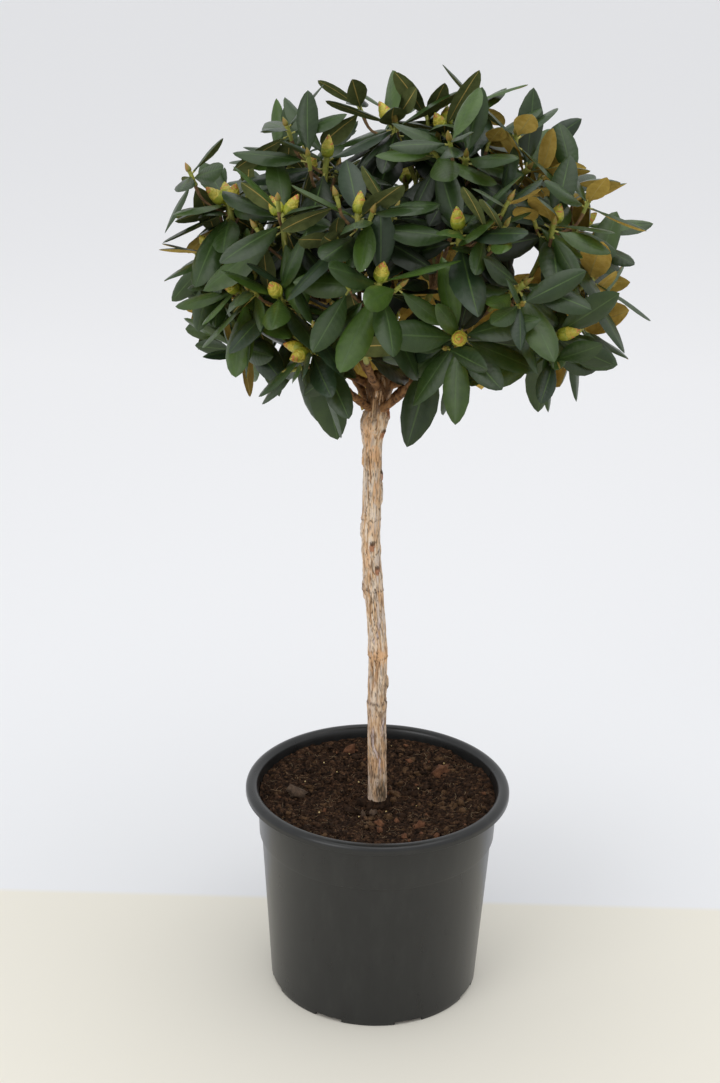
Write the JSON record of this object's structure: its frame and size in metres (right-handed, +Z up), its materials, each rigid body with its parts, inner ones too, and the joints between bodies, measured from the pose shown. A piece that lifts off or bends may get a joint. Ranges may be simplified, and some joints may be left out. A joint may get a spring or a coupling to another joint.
{
  "type": "potted standard rhododendron",
  "caption": "Grafted rhododendron grown as a standard: a bare upright stem under a round crown of whorled leathery leaves and fat buds, in a round black nursery pot filled with peat.",
  "frame": {"origin": "middle of the pot's flat underside", "axes": "+Z up along the stem, -Y towards the side that faces the viewer, +X to the viewer's right"},
  "size_m": [0.5852, 0.5137, 1.2057],
  "materials": {
    "pot": "satin black moulded plastic",
    "soil": "moist crumbly peat",
    "bark": "flaking tan bark",
    "young_bark": "smooth young bark",
    "foliage": "leathery leaves"
  },
  "bodies": {
    "root": {"pot": "pot", "soil": "soil", "trunk": "bark", "bough_left": "young_bark", "bough_front_left": "young_bark", "bough_front": "young_bark", "bough_front_right": "young_bark", "bough_right": "young_bark", "bough_back_right": "young_bark", "bough_back": "young_bark", "bough_back_left": "young_bark", "bough_top_left": "young_bark", "bough_top_right": "young_bark", "foliage_left": "foliage", "foliage_front_left": "foliage", "foliage_front": "foliage", "foliage_front_right": "foliage", "foliage_right": "foliage", "foliage_back_right": "foliage", "foliage_back": "foliage", "foliage_back_left": "foliage", "foliage_top_left": "foliage", "foliage_top_right": "foliage"}
  },
  "joints": []
}
